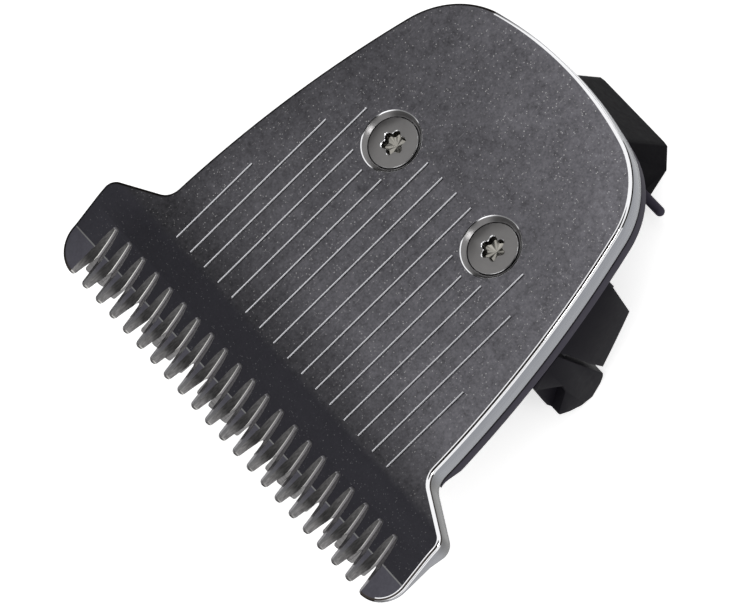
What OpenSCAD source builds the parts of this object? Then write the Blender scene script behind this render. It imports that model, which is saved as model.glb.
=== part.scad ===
// Cutting head of a hair trimmer: a toothed steel guard plate, a cutter that
// slides side to side behind it, and the plastic base that clips on the handle.
// Millimetres. +Z is the engraved face, -Y the teeth, X the cutting width.

/* [Guard plate] */
// Full width across the toothed front
blade_w = 35.6; // [35.2:0.1:37]
// Width of the neck just behind the toothed front
neck_w = 27.7; // [27:0.1:28.2]
// Length from the tooth tips to the back edge
plate_l = 32.1; // [31.5:0.1:32.9]
// Thickness of the plate
plate_t = 1.65; // [1.5:0.05:1.9]
// Spacing of the guard teeth
tooth_pitch = 1.5; // [1.44:0.01:1.53]
// Width of the slot floor between two teeth
slot_floor = 0.13; // [0.08:0.01:0.25]
// Radius of the outer front corners
tip_corner_r = 2.2; // [1.6:0.1:2.8]
// Radius of the rounded back corners
back_corner_r = 6.3; // [5:0.1:7.5]
// Length of the longest engraved lines
line_l = 14.9; // [12:0.1:16]
// Width of an engraved line
line_w = 0.13; // [0.08:0.01:0.2]

/* [Cutter] */
// Spacing of the cutter teeth
cutter_pitch = 1.2264; // [1.18:0.01:1.24]
// Half of the cutter's length
cutter_half_l = 16.2; // [16:0.1:16.3]
// Thickness of the cutter
cutter_t = 0.55; // [0.45:0.05:0.65]
// Overhang of the guard teeth past the cutter teeth
tip_guard = 0.83; // [0.6:0.01:1.2]
// How far the cutter stands off centre at rest
cutter_rest = -0.26; // [-0.4:0.02:0.1]
// Width of the drive slot
drive_slot_w = 3.2; // [2.6:0.1:3.8]

/* [Screws] */
// Distance of each screw from the centre line
screw_x = 5.25; // [4.8:0.05:5.6]
// Distance of the screws behind the start of the engraved lines
screw_y = 14.14; // [13.6:0.05:14.8]
// Radius of the screw head
head_r = 1.72; // [1.5:0.02:1.85]
// Radius of the recess round the head
recess_r = 2.06; // [1.95:0.01:2.2]
// Radius of the threaded shank
shank_r = 1; // [0.8:0.05:1.1]

/* [Base] */
// Thickness of the upper frame
frame_t = 1.15; // [1:0.05:1.4]
// Full height of the head
head_h = 9.9; // [9.4:0.1:10.6]
// Thickness of the side walls
wall = 1.3; // [1.1:0.1:1.5]
// Half width of the hinge block at the back
block_half_w = 5.2; // [4.8:0.1:5.6]
// Radius of the two hinge pegs
peg_r = 0.325; // [0.25:0.025:0.45]
// Half of the length over both pegs
peg_reach = 7.4; // [6.8:0.1:8]
// Width of the slit behind each snap arm
slit = 0.3; // [0.2:0.05:0.4]

/* [Hidden] */
$fn = 48;
e = 0.01;
half_w = blade_w / 2;
tip_y = -6.65;
back_y = plate_l + tip_y;
block_back = 0.9;                 // hinge block behind the plate
beyond = 2 * plate_l;             // past everything, for cuts that run right through
mid_y = (tip_y + back_y + block_back) / 2;

// plan of the plate, as tangent arcs
side_r = 78.6;
side_c = [neck_w / 2 - side_r, -1];
back_r = 26.5;
back_c = [0, back_y - back_r];
shoulder_tilt = 27;
shoulder_r = 1;
shoulder_y = -0.61;
shoulder_c = [half_w - shoulder_r, shoulder_y - shoulder_r * tan((90 - shoulder_tilt) / 2)];
root_r = 1.3;
root_x = neck_w / 2 - 0.07 + root_r;
root_c = [root_x, shoulder_y + (half_w - root_x) * tan(shoulder_tilt) + root_r / cos(shoulder_tilt)];
root_a = atan2(root_c[1] - side_c[1], root_c[0] - side_c[0]);

// centre of the back corner: inside both the side arc and the back arc
ra = side_r - back_corner_r;
rb = back_r - back_corner_r;
cc = back_c - side_c;
cd = norm(cc);
ca = (ra * ra - rb * rb + cd * cd) / (2 * cd);
ch = sqrt(ra * ra - ca * ca);
corner_c = side_c + ca / cd * cc + ch / cd * [-cc[1], cc[0]];
corner_a = atan2(corner_c[1] - side_c[1], corner_c[0] - side_c[0]);
back_a = atan2(corner_c[1] - back_c[1], corner_c[0] - back_c[0]);

// toothed front
bend_r = 6.3;
bend_y = -0.5;
bend_a = 15.3;
crease = [-4.32, -0.81];
shear_z = -1.3;                   // flat that the cutter runs on
tip_nose = [[-6.5, -1.06], [tip_y, -1.15], [tip_y - 0.1, shear_z]];
under_step = [[-2.3, shear_z], [-1.3, -plate_t]];
slot_slope = 1.11;                // half width gained per mm of height
slot_count = 21;
slot_path = [[-2.25, -0.15], [-2.6, -0.51], [-3.8, -1.03], [-4.6, -1.3], [-5.1, -1.46], [-5.8, -1.56], [-7.2, -1.58]];
pocket_in = 0.5;                   // rim left round the cutter
pocket_back_y = 1.2;
pocket_half_w = 12.9;
pocket_y = 4.35;
rail_end_gap = 1.2;
rail_gap = 0.05;
rail_notch_w = 2.4;
rail_notch_d = 0.25;

line_depth = 0.05;
line_clear = 2.6;                 // bare disc round each screw

// cutter and its carrier
run = 0.02;
cutter_n = 27;
cutter_tip_y = tip_y + tip_guard;
cutter_root_y = -3.6;
cutter_back_y = 3.2;
cutter_body_w = 11.3;
cutter_taper_y = [-1.5, 1];
tooth_half = [0.45, 0.38, 0.22, 0.12];   // half widths of a cutter tooth, from root to tip
tooth_root = 0.3;
tooth_point = 0.1;
cutter_top = shear_z - run;
cutter_bot = cutter_top - cutter_t;
bar_half_w = 9;
bar_y = [-1.8, 2.6];
bar_bot = -3.4;
fork_half_w = 3.6;
fork_y = [-0.6, 8.3];
fork_bot = -7;
fork_top = -2.35;
fork_roof = 1.2;                  // over the drive slot
drive_slot_y = 3.4;
rivet_x = 6.5;
rivet_y = 0.6;
rivet_r = 0.55;
rivet_sink = 0.35;
rivet_sink_r = rivet_r + 0.4;
rivet_low = bar_bot + 0.05;
rivet_head_t = 0.28;

// screws
head_top = -0.28;
head_t = 0.75;
seat_z = head_top - head_t;
shank_l = 3.6;
insert_r = 1.6;
insert_h = 1.9;
screw_gap = 0.03;
plate_hole_gap = 0.15;
base_hole_gap = 0.1;
bit_r = 0.86;                     // six-lobe recess: size, depth and turn
bit_depth = 0.5;
bit_turn = [-5, 20];
lobe_r = 0.24;                    // as a share of the recess

// base
frame_gap = 0.12;                 // frame stands inside the plate's outline
frame_top = -plate_t;
frame_bot = frame_top - frame_t;
frame_y = 1.5;
nose = [1.6, 0.7];                // lower front edge of the frame, cut back and up
window_x = 5.3;
window_y = 9.3;
notch_x = 12.6;
notch_y = 3.4;
deck_in = 1.75;
deck_t = 0.8;
deck_bot = frame_bot - deck_t;
deck_window_x = 9.7;
front_wall_y = [8.6, 9.8];
front_wall_half = [10.6, 8.4];    // at the top and at the bottom
way_half_w = 4.4;                 // way for the drive pin
way_drop = 0.6;
boss_r = 2.5;
boss_bot = -5.2;
boss_floor = 0.3;
slit_top_y = 12.5;
slit_low = [13.2, -6.9];
cheek_back_y = 17.9;
arm_gap = 0.1;
arm_front_y = 9.9;
arm_low = [[13.45, -9.05], [13.3, -9.3], [12.9, -9.55], [11.9, -9.8], [11.05, -9.35], [10.3, -8.6],
  [9.75, -7.85], [9.6, -7.05]];
hollow_depth = 0.75;
hollow_line = [[8, -3.5], [10, -3.5], [11.2, -5.8], [11.05, -6.5], [9.4, -7.9], [8, -9]];
cheek_low = [[13.75, -8.5], [17.4, -7.2]];
block_front_y = 20.9;
block_lean = 22;                  // back of the block leans out towards the bottom
block_corner = [[0, -3.05], [-0.5, -1.15], [-1.7, -0.05], [-2.1, 0]];
peg_y = 23.1;
peg_z = -8.8;

// springs
wire_r = 0.25;
leg_r = wire_r - 0.02;
coil_r = 0.95;
coil_y = 6.9;
coil_z = bar_bot - 0.02 - wire_r - coil_r;
coil_x = 7.3;
coil_pitch = 0.45;
spring_tip_y = 0.2;
post_r = 0.6;
post_end = 0.7;                   // past the first coil
ear_x = 9.7;
ear_t = 1.2;
ear_half = 1.1;

function arc(c, r, a0, a1, n) =
  [for (i = [0 : n]) let (a = a0 + (a1 - a0) * i / n) [c[0] + r * cos(a), c[1] + r * sin(a)]];
function mirrored(p) = [for (i = [len(p) - 1 : -1 : 0]) [-p[i][0], p[i][1]]];

// right half of the plate's plan, set in by d
function half_plan(d) = concat(
  arc([half_w - tip_corner_r, tip_y + tip_corner_r], tip_corner_r - d, -90, 0, 10),
  arc(shoulder_c, shoulder_r - d, 0, 90 - shoulder_tilt, 6),
  arc(root_c, root_r + d, 270 - shoulder_tilt, 180 + root_a, 6),
  arc(side_c, side_r - d, root_a, corner_a, 14),
  arc(corner_c, back_corner_r - d, corner_a, back_a, 12),
  arc(back_c, back_r - d, back_a, 90, 5));

module plan(d = 0) polygon(concat(half_plan(d), mirrored(half_plan(d))));

module behind(y) translate([-beyond, y]) square(2 * beyond);

module slab(z0, z1) translate([0, 0, z0]) linear_extrude(z1 - z0) children();

// a (y, z) profile drawn out along x between x0 and x1
module along_x(x0, x1) translate([x0, 0, 0]) rotate([90, 0, 90]) linear_extrude(x1 - x0) children();

module pair() for (s = [-1, 1]) scale([s, 1, 1]) children();

// ---- guard plate ----
function tip_profile() = concat(
  [[back_y + 1, 0]],
  arc([bend_y, -bend_r], bend_r, 90, 90 + bend_a, 6),
  [crease], tip_nose, under_step, [[back_y + 1, -plate_t]]);

// section of all the slots at once; t is the slope square to the cut
module slot_comb(t) {
  h = 1.2;
  f = slot_floor / 2;
  last = (slot_count - 1) / 2;
  crest = (tooth_pitch / 2 - f) / t;
  polygon(concat(
    [[-last * tooth_pitch - f - t * h, h]],
    [for (k = [-last : last], s = [0 : 2])
      if (s < 2 || k < last) [k * tooth_pitch + (s == 2 ? tooth_pitch / 2 : (2 * s - 1) * f), s == 2 ? crest : 0]],
    [[last * tooth_pitch + f + t * h, h]]));
}

module slots() for (i = [0 : len(slot_path) - 2]) {
  p = slot_path[i];
  d = slot_path[i + 1] - p;
  a = atan2(-d[1], -d[0]);
  translate([0, p[0], p[1]]) rotate([90 + a, 0, 0]) linear_extrude(norm(d) + 0.02) slot_comb(slot_slope / cos(a));
}

// the lines stop short of the screws, and get shorter towards the sides
function line_end(k) =
  let (dx = (k + 0.5) * tooth_pitch - screw_x)
  k == 7 ? 0.45 * line_l : k == 6 ? 0.81 * line_l : k == 5 ? 0.97 * line_l :
  abs(dx) < line_clear ? screw_y - sqrt(line_clear * line_clear - dx * dx) : line_l;

module engraved_lines() pair() for (k = [0 : 7])
  translate([(k + 0.5) * tooth_pitch - line_w / 2, 0, -line_depth]) cube([line_w, line_end(k), 1]);

module screw_places() for (s = [-1, 1]) translate([s * screw_x, screw_y, 0]) children();

module guard_plate() color("DimGray") difference() {
  intersection() {
    along_x(-half_w - 1, half_w + 1) polygon(tip_profile());
    slab(-plate_t - 1, 1) plan();
  }
  slots();
  slab(-plate_t - 0.1, shear_z) {
    difference() {
      plan(pocket_in);
      behind(pocket_back_y);
    }
    translate([-pocket_half_w, 0]) square([2 * pocket_half_w, pocket_y]);
  }
  engraved_lines();
  screw_places() {
    translate([0, 0, seat_z]) cylinder(r = recess_r, h = 2);
    translate([0, 0, -plate_t - 1]) cylinder(r = shank_r + plate_hole_gap, h = plate_t + 2);
  }
}

// ---- cutter ----
function cutter_side() = [[cutter_half_l, cutter_root_y], [cutter_half_l, cutter_taper_y[0]],
  [cutter_body_w, cutter_taper_y[1]], [cutter_body_w, cutter_back_y]];

module cutter_plan() {
  difference() {
    polygon(concat(cutter_side(), mirrored(cutter_side())));
    pair() translate([rivet_x, rivet_y]) circle(r = rivet_r);
  }
  for (k = [0 : cutter_n - 1]) {
    x = (k - (cutter_n - 1) / 2) * cutter_pitch;
    y = [cutter_root_y + tooth_root, cutter_root_y, cutter_tip_y + tooth_point, cutter_tip_y];
    polygon(concat([for (i = [0 : 3]) [x - tooth_half[i], y[i]]], [for (i = [3 : -1 : 0]) [x + tooth_half[i], y[i]]]));
  }
}

module cutter_blade() color("Silver") translate([cutter_rest, 0, 0])
  slab(cutter_bot, cutter_top) cutter_plan();

module cutter_carrier() color("WhiteSmoke") translate([cutter_rest, 0, 0]) difference() {
  union() {
    translate([-bar_half_w, bar_y[0], bar_bot]) cube([2 * bar_half_w, bar_y[1] - bar_y[0], cutter_bot - bar_bot]);
    translate([-fork_half_w, fork_y[0], fork_bot]) cube([2 * fork_half_w, fork_y[1] - fork_y[0], fork_top - fork_bot]);
  }
  translate([-drive_slot_w / 2, drive_slot_y, fork_bot - 1]) cube([drive_slot_w, beyond, fork_top - fork_roof - fork_bot + 1]);
  pair() translate([rivet_x, rivet_y, bar_bot - 1]) {
    cylinder(r = rivet_r, h = 4);
    cylinder(r = rivet_sink_r, h = 1 + rivet_sink);
  }
}

module carrier_rivets() color("Silver") translate([cutter_rest, 0, 0]) pair() translate([rivet_x, rivet_y, 0]) {
  translate([0, 0, rivet_low]) cylinder(r = rivet_r - e, h = cutter_top - rivet_low);
  translate([0, 0, rivet_low]) cylinder(r = rivet_sink_r - 2 * e, h = rivet_head_t);
}

module guide_rail() color("Silver") difference() {
  translate([-pocket_half_w + rail_end_gap, cutter_back_y + rail_gap, -plate_t])
    cube([2 * (pocket_half_w - rail_end_gap), pocket_y - cutter_back_y - 2 * rail_gap, shear_z + plate_t]);
  translate([-rail_notch_w / 2, cutter_back_y - 1, -3]) cube([rail_notch_w, 1 + rail_gap + rail_notch_d, 3]);
}

// ---- springs ----
module spring_body() {
  translate([coil_x, coil_y, coil_z]) rotate([0, 90, 0])
    rotate_extrude() for (i = [0 : 2]) translate([coil_r, i * coil_pitch]) circle(r = wire_r);
  translate([coil_x, coil_y, coil_z + coil_r]) rotate([90, 0, 0]) cylinder(r = leg_r, h = coil_y - spring_tip_y);
  translate([coil_x, spring_tip_y, coil_z + coil_r]) sphere(r = leg_r);
  translate([coil_x + 2 * coil_pitch, coil_y + coil_r, coil_z]) cylinder(r = leg_r, h = frame_bot - e - coil_z);
}

module spring_left() color("LightGray") scale([-1, 1, 1]) spring_body();
module spring_right() color("LightGray") spring_body();

// ---- base ----
module frame_window() {
  translate([-notch_x, 0]) square([2 * notch_x, notch_y]);
  translate([-window_x, 0]) square([2 * window_x, window_y]);
}

module base_frame() color("DimGray") difference() {
  slab(frame_bot, frame_top) difference() {
    intersection() {
      plan(frame_gap);
      behind(frame_y);
    }
    frame_window();
  }
  along_x(-beyond, beyond)
    polygon([[frame_y - e, frame_bot + nose[1]], [frame_y + nose[0], frame_bot - e], [frame_y - e, frame_bot - e]]);
  screw_places() translate([0, 0, -5]) cylinder(r = shank_r + base_hole_gap, h = 5);
}

// ring of the side walls, wall thick, just inside the frame
module wall_ring(t = wall) difference() {
  plan(frame_gap);
  plan(frame_gap + t);
}

module cheek_profile() polygon(concat(
  [[slit_top_y + slit / 2, frame_bot], [slit_low[0] + slit / 2, slit_low[1]]], cheek_low,
  [[cheek_back_y, frame_bot]]));

module cheeks() intersection() {
  slab(-head_h, frame_bot) wall_ring();
  along_x(-beyond, beyond) cheek_profile();
}

// back half of the hinge block in plan, measured from the back of its foot
function block_half() = [for (p = block_corner) [block_half_w + p[0], p[1] * cos(block_lean)]];

module block_body() intersection() {
  translate([-block_half_w, block_front_y, -head_h])
    cube([2 * block_half_w, beyond, head_h + frame_bot]);
  translate([0, back_y + block_back, -head_h]) rotate([block_lean, 0, 0]) slab(-head_h, 2 * head_h)
    polygon(concat([[block_half_w, -beyond]], block_half(), mirrored(block_half()), [[-block_half_w, -beyond]]));
}

module deck() slab(deck_bot, frame_bot) difference() {
  union() {
    intersection() {
      plan(deck_in);
      behind(notch_y);
    }
    intersection() {
      plan(frame_gap);
      translate([-beyond, slit_top_y + slit / 2]) square([2 * beyond, cheek_back_y - slit_top_y - slit / 2]);
    }
  }
  translate([-deck_window_x, 0]) square([2 * deck_window_x, front_wall_y[0]]);
  translate([-window_x, 0]) square([2 * window_x, window_y]);
}

module plug_housing() color("DimGray") difference() {
  union() {
    deck();
    cheeks();
    block_body();
    // front wall of the socket, narrower towards the bottom
    rotate([90, 0, 0]) translate([0, 0, -front_wall_y[1]]) linear_extrude(front_wall_y[1] - front_wall_y[0])
      polygon([[-front_wall_half[0], frame_bot], [-front_wall_half[1], -head_h],
               [front_wall_half[1], -head_h], [front_wall_half[0], frame_bot]]);
    // bosses for the screws
    screw_places() translate([0, 0, boss_bot]) cylinder(r = boss_r, h = frame_bot - boss_bot);
    // pegs that hook into the handle
    for (s = [-1, 1]) translate([0, peg_y, peg_z]) {
      rotate([0, s * 90, 0]) translate([0, 0, block_half_w - 0.1])
        cylinder(r = peg_r, h = peg_reach - peg_r - block_half_w + 0.1);
      translate([s * (peg_reach - peg_r), 0, 0]) sphere(r = peg_r);
    }
    // ears and posts that carry the springs
    pair() {
      translate([ear_x, coil_y - ear_half, coil_z - ear_half])
        cube([ear_t, 2 * ear_half, deck_bot - coil_z + ear_half + 0.1]);
      translate([coil_x - post_end, coil_y, coil_z]) rotate([0, 90, 0])
        cylinder(r = post_r, h = ear_x - coil_x + post_end + 0.1);
    }
  }
  screw_places() {
    translate([0, 0, frame_bot - insert_h]) cylinder(r = insert_r, h = 5);
    translate([0, 0, boss_bot + boss_floor]) cylinder(r = shank_r + base_hole_gap, h = 5);
  }
  // way for the handle's drive pin through the front wall
  translate([-way_half_w, front_wall_y[0] - 1, fork_bot - way_drop])
    cube([2 * way_half_w, front_wall_y[1] - front_wall_y[0] + 1.8, frame_bot - fork_bot + 2]);
}

module arm_profile() polygon(concat(
  [[arm_front_y, frame_bot - arm_gap], [slit_top_y - slit / 2, frame_bot - arm_gap],
   [slit_low[0] - slit / 2, slit_low[1]]], arm_low));

module arm_body() difference() {
  intersection() {
    slab(-head_h, frame_bot) wall_ring();
    along_x(0, beyond) arm_profile();
  }
  // hollow in the outer face, open to the front
  intersection() {
    slab(-head_h, frame_bot) difference() {
      plan(-wall);
      plan(frame_gap + hollow_depth);
    }
    along_x(0, beyond) polygon(hollow_line);
  }
}

module snap_arm_left() color("Gray") scale([-1, 1, 1]) arm_body();
module snap_arm_right() color("Gray") arm_body();

// ---- fasteners ----
module six_lobe(r) {
  circle(r = (0.98 - lobe_r) * r);
  for (a = [0 : 60 : 300]) rotate(a) translate([(1 - lobe_r) * r, 0]) circle(r = lobe_r * r, $fn = 24);
}

module plate_screws() color("Silver") for (s = [-1, 1]) translate([s * screw_x, screw_y, 0]) difference() {
  union() {
    translate([0, 0, seat_z]) cylinder(r = head_r, h = head_t);
    translate([0, 0, seat_z - shank_l]) cylinder(r = shank_r, h = shank_l + e);
  }
  translate([0, 0, head_top - bit_depth]) linear_extrude(1) rotate(bit_turn[(s + 1) / 2]) six_lobe(bit_r);
}

module screw_inserts() color("Goldenrod") screw_places() translate([0, 0, frame_bot - insert_h]) difference() {
  cylinder(r = insert_r, h = insert_h);
  translate([0, 0, -1]) cylinder(r = shank_r + screw_gap, h = insert_h + 2);
}

translate([0, -mid_y, head_h]) {
  guard_plate();
  cutter_blade();
  cutter_carrier();
  carrier_rivets();
  guide_rail();
  spring_left();
  spring_right();
  base_frame();
  plug_housing();
  snap_arm_left();
  snap_arm_right();
  plate_screws();
  screw_inserts();
}
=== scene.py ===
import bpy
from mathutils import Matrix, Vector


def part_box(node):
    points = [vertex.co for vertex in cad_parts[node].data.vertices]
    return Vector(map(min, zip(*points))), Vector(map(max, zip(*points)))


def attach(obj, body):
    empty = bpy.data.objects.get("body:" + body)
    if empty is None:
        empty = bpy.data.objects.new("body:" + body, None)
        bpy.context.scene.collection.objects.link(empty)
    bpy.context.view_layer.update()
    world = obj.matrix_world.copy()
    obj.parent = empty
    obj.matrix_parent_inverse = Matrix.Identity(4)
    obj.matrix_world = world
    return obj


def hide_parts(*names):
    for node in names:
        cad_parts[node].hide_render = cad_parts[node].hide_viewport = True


bl_info = {
    "name": "Trimmer cutting head",
    "version": (1, 0, 0),
    "blender": (4, 5, 0),
    "location": "3D View > Sidebar > Trimmer head",
    "description": "Dresses a clip-on trimmer cutting head: "
                   "guard plate, cutter, screws, springs and plastic base",
    "category": "Object",
}

import math

import bpy
from mathutils import Matrix, Vector

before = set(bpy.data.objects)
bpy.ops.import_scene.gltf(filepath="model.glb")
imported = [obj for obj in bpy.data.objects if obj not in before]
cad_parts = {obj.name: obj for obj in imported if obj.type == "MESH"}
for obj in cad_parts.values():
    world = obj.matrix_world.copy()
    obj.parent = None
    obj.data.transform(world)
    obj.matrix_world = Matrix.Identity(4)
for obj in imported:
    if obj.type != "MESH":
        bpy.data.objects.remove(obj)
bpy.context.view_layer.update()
bpy.ops.object.select_all(action="DESELECT")

MM = 0.001
TINY = 1e-6
# Points and heights closer than this, in mm, are the same.
NEAR = 1e-4
# A face whose normal rises more than this counts as level.
LEVEL = 0.999
ROUND_SIDES = 96
# Edges flatter than this are shaded smooth, in degrees.
SMOOTH_STEEL, SMOOTH_CAD = 30, 35

# The plate's own axes, in millimetres: x across the teeth, y from the start of
# the engraved lines towards the back, z up from the engraved face.
plate_low, plate_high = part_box("guard_plate")
TIP_Y = -6.65
ORIGIN = Vector((0, plate_low.y - TIP_Y * MM, plate_high.z))
PLATE_W = round((plate_high.x - plate_low.x) / MM, 3)
PLATE_L = round((plate_high.y - plate_low.y) / MM, 3)
PLATE_T = round((plate_high.z - plate_low.z) / MM, 3)


# ---------------------------------------------------------------- settings
class HeadSizes(bpy.types.PropertyGroup):
    plate_width: bpy.props.FloatProperty(
        name="Toothed width", description="Full width across the toothed front, in mm", default=PLATE_W)
    plate_length: bpy.props.FloatProperty(
        name="Plate length", description="Tooth tips to the back edge, in mm", default=PLATE_L)
    plate_thickness: bpy.props.FloatProperty(
        name="Plate thickness", description="Thickness of the guard plate, in mm", default=PLATE_T)
    neck_width: bpy.props.FloatProperty(
        name="Neck width", description="Width just behind the toothed front, in mm", default=27.7)
    tooth_pitch: bpy.props.FloatProperty(
        name="Tooth pitch", description="Spacing of the guard teeth, in mm", default=1.5)
    edge_round: bpy.props.FloatProperty(
        name="Edge rounding", description="Radius of the polished upper edge, in mm", default=0.25)
    plastic_round: bpy.props.FloatProperty(
        name="Plastic edge rounding", description="Radius of the moulded edges, in mm", default=0.12)


class HeadColours(bpy.types.PropertyGroup):
    plate: bpy.props.FloatVectorProperty(
        name="Blasted steel", description="Colour of the blasted top face", subtype="COLOR",
        size=3, min=0, max=1, default=(0.175, 0.171, 0.188))
    band: bpy.props.FloatVectorProperty(
        name="Front band", description="Colour of the sloping band behind the teeth", subtype="COLOR",
        size=3, min=0, max=1, default=(0.042, 0.041, 0.049))
    ground: bpy.props.FloatVectorProperty(
        name="Ground steel", description="Colour of the ground slots and of the cutter", subtype="COLOR",
        size=3, min=0, max=1, default=(0.42, 0.41, 0.41))
    polished: bpy.props.FloatVectorProperty(
        name="Polished steel", description="Colour of the polished edge", subtype="COLOR",
        size=3, min=0, max=1, default=(0.95, 0.95, 0.97))
    screw: bpy.props.FloatVectorProperty(
        name="Screw steel", description="Colour of the screws", subtype="COLOR",
        size=3, min=0, max=1, default=(0.2, 0.195, 0.193))
    plastic: bpy.props.FloatVectorProperty(
        name="Black plastic", description="Colour of the plastic base", subtype="COLOR",
        size=3, min=0, max=1, default=(0.0078, 0.0071, 0.0098))
    carrier: bpy.props.FloatVectorProperty(
        name="Carrier plastic", description="Colour of the cutter's carrier", subtype="COLOR",
        size=3, min=0, max=1, default=(0.62, 0.61, 0.57))
    brass: bpy.props.FloatVectorProperty(
        name="Brass", description="Colour of the screw inserts", subtype="COLOR",
        size=3, min=0, max=1, default=(0.62, 0.45, 0.18))


# ---------------------------------------------------------------- mesh tools
def active(obj):
    bpy.ops.object.select_all(action="DESELECT")
    obj.select_set(True)
    bpy.context.view_layer.objects.active = obj


def named(name):
    """Names the object that an operator has just made, and its mesh."""
    obj = bpy.context.active_object
    obj.name = name
    obj.data.name = name
    return obj


def edit(obj, select="VERT"):
    """Goes into edit mode on one object; done() comes back."""
    active(obj)
    bpy.ops.object.mode_set(mode="EDIT")
    bpy.ops.mesh.select_mode(type=select)


def done():
    bpy.ops.object.mode_set(mode="OBJECT")


def pick(obj, kind, test):
    """Selects only the vertices or the edges whose points pass the test."""
    mode = obj.mode
    bpy.ops.mesh.select_all(action="DESELECT")
    bpy.ops.object.mode_set(mode="OBJECT")
    me = obj.data
    if kind == "VERT":
        for v in me.vertices:
            v.select = test(v.co)
    else:
        for ed in me.edges:
            ed.select = test(*[me.vertices[i].co for i in ed.vertices])
    bpy.ops.object.mode_set(mode=mode)


def at_height(z):
    """A test for pick(): the edges that lie at one height."""
    return lambda a, b: abs(a.z - z) < 0.01 and abs(b.z - z) < 0.01


def outward(obj, merge=NEAR):
    """Merges doubled points and turns every face outwards."""
    edit(obj)
    bpy.ops.mesh.select_all(action="SELECT")
    bpy.ops.mesh.remove_doubles(threshold=merge)
    bpy.ops.mesh.normals_make_consistent(inside=False)
    done()


def apply_modifiers(obj):
    active(obj)
    for m in list(obj.modifiers):
        bpy.ops.object.modifier_apply(modifier=m.name)


def carve(obj, cutter, operation="DIFFERENCE"):
    """Boolean with a cutting shape, which is then removed; the cut takes the cutter's material."""
    m = obj.modifiers.new("carve", "BOOLEAN")
    m.operation = operation
    m.object = cutter
    m.solver = "EXACT"
    m.material_mode = "TRANSFER"
    apply_modifiers(obj)
    bpy.data.objects.remove(cutter, do_unlink=True)


def round_edges(obj, width, segments, angle):
    m = obj.modifiers.new("round", "BEVEL")
    m.width = width
    m.segments = segments
    m.limit_method = "ANGLE"
    m.angle_limit = math.radians(angle)
    m.use_clamp_overlap = True
    m.miter_outer = "MITER_ARC"
    apply_modifiers(obj)


def smooth(obj, angle):
    active(obj)
    bpy.ops.object.shade_smooth_by_angle(angle=math.radians(angle))
    return obj


def join(objs, name):
    active(objs[0])
    for o in objs:
        o.select_set(True)
    bpy.ops.object.join()
    return named(name)


def to_frame(obj):
    """From millimetres in the plate's axes to the frame, leaving the object itself at the origin."""
    active(obj)
    obj.scale = (MM, MM, MM)
    obj.location = ORIGIN
    bpy.ops.object.transform_apply(location=True, rotation=True, scale=True)


def finish_piece(obj, body, slot, *replaced):
    """Puts a finished piece in the frame, on its body and in its CAD nodes' place; its slot is not used.
    """
    to_frame(obj)
    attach(obj, body)
    if replaced:
        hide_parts(*replaced)


def add_finishes(obj, *finishes):
    for finish in finishes:
        obj.data.materials.append(mat(finish))


def block(name, low, high, finish):
    """A box between two corners, to cut with."""
    low, high = Vector(low), Vector(high)
    bpy.ops.mesh.primitive_cube_add(size=1, location=(low + high) / 2)
    obj = named(name)
    obj.scale = high - low
    bpy.ops.object.transform_apply(location=True, rotation=True, scale=True)
    add_finishes(obj, finish)
    return obj


def drum(name, r, z0, z1, x, y, finish, sides=ROUND_SIDES):
    """An upright cylinder."""
    bpy.ops.mesh.primitive_cone_add(
        vertices=sides, radius1=r, radius2=r, depth=z1 - z0, location=(x, y, (z0 + z1) / 2))
    obj = named(name)
    bpy.ops.object.transform_apply(location=True, rotation=True, scale=True)
    add_finishes(obj, finish)
    return obj


def turned(name, levels, x, y, outline=None):
    """A cutting tool of round sections, or of sections with another outline.

    Each level from the lowest up is its z, its size and the finish of the wall below it."""
    z, size, _ = levels[0]
    sides = len(outline) if outline else ROUND_SIDES
    bpy.ops.mesh.primitive_circle_add(vertices=sides, fill_type="NGON", radius=size)
    obj = named(name)
    for v, p in zip(obj.data.vertices, outline or [v.co.xy / size for v in obj.data.vertices]):
        v.co = (p[0] * size, p[1] * size, z)
    edit(obj, "FACE")
    bpy.ops.mesh.select_all(action="SELECT")
    for z_next, size_next, _ in levels[1:]:
        grow = size_next / size
        bpy.ops.mesh.extrude_region_move(TRANSFORM_OT_translate={"value": (0, 0, z_next - z)})
        bpy.ops.transform.resize(value=(grow, grow, 1), center_override=(0, 0, z_next))
        z, size = z_next, size_next
    done()
    outward(obj, TINY)
    add_finishes(obj, *[finish for _, _, finish in levels])
    for f in obj.data.polygons:
        above = [i for i, level in enumerate(levels) if level[0] > f.center.z + NEAR]
        f.material_index = above[0] if above else 0
        if abs(f.normal.z) > LEVEL and f.center.z < levels[0][0] + NEAR:
            f.material_index = 0
    obj.data.transform(Matrix.Translation((x, y, 0)))
    return obj


# ---------------------------------------------------------------- plan and profile of the plate
TIP_R, SHOULDER_R, ROOT_R, SIDE_R, CORNER_R, BACK_R = 2.2, 1.0, 1.3, 78.6, 6.3, 26.5
# The backs of the ears fall away outwards by this angle, from this height at the sides.
EAR_TILT = 27.0
EAR_BACK_Y = -0.61
# The long side arcs are widest here, and the ears' inner corners bite this far into them.
WAIST_Y = -1.0
ROOT_BITE = 0.07

# Upper face, going forwards: flat, a bend, a slope, then the flatter tips after the crease.
BEND_Y, BEND_END_Y, BEND_R = -0.5, -2.162, 6.3
CREASE_Y, CREASE_Z = -4.32, -0.81
TIP_RISE = 0.118
# A painted highlight along the crease, where its sharp edge catches the light, lies between these.
CREASE_GLINT_BACK_Y, CREASE_GLINT_FRONT_Y = -4.29, -4.38
# Lower face: it steps down to the plate's full thickness between these.
STEP_FRONT_Y, STEP_BACK_Y = -2.3, -1.3
STEP_T = 1.3


def arc(c, r, a0, a1, n):
    """Points along an arc about c, between two angles in degrees."""
    return [(c[0] + r * math.cos(math.radians(a0 + (a1 - a0) * i / n)),
             c[1] + r * math.sin(math.radians(a0 + (a1 - a0) * i / n))) for i in range(n + 1)]


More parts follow.
